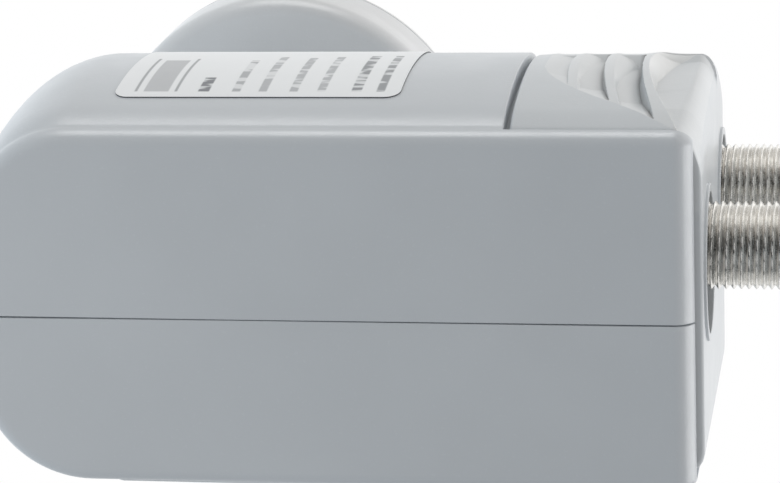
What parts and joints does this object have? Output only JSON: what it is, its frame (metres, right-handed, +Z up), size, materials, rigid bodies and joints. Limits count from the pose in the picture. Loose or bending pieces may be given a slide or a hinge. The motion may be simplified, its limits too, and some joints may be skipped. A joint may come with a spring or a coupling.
{
  "type": "satellite low noise block downconverter",
  "caption": "Satellite LNB with a pale grey housing, a round horn cap, a weather slide and threaded outputs.",
  "frame": {"origin": "on the horn's axis, half way along the clamp neck", "axes": "+Y along the horn's axis towards the dish, +Z up along the housing with the outputs pointing down, +X towards the label side"},
  "size_m": [0.0464, 0.0664, 0.0899],
  "materials": {
    "housing": "matt",
    "paper": "satin",
    "casting": "cast",
    "sheet": "satin",
    "rubber": "matt",
    "screw_steel": "satin",
    "board": "satin",
    "chip": "matt",
    "terminal": "matt",
    "ceramic": "matt",
    "nickel": "satin",
    "insulator": "matt",
    "gold": "satin"
  },
  "bodies": {
    "housing": {"label_side_shell": "housing", "plain_side_shell": "housing", "label": "paper", "chassis": "casting", "feed_horn": "casting", "shield_lid": "sheet", "lid_gasket": "rubber", "lid_screws": "screw_steel", "circuit_board": "board", "converter_chip": "chip", "regulator": "chip", "transistors": "chip", "capacitors": "terminal", "resonators": "ceramic", "output_near": "nickel", "output_far": "nickel", "insulator_near": "insulator", "insulator_far": "insulator", "contact_near": "gold", "contact_far": "gold", "output_seals": "rubber", "probe_upright": "gold", "probe_level": "gold", "probe_beads": "insulator", "neck_sleeve": "housing", "neck_seal": "rubber", "horn_shroud": "housing", "horn_cap": "housing", "cap_seal": "rubber"},
    "slide": {"weather_slide": "housing"}
  },
  "joints": [
    {"name": "weather_slide_joint", "type": "slide", "parent": "housing", "child": "slide", "axis": [0, 0, -1], "range_m": [0, 0.02]}
  ]
}
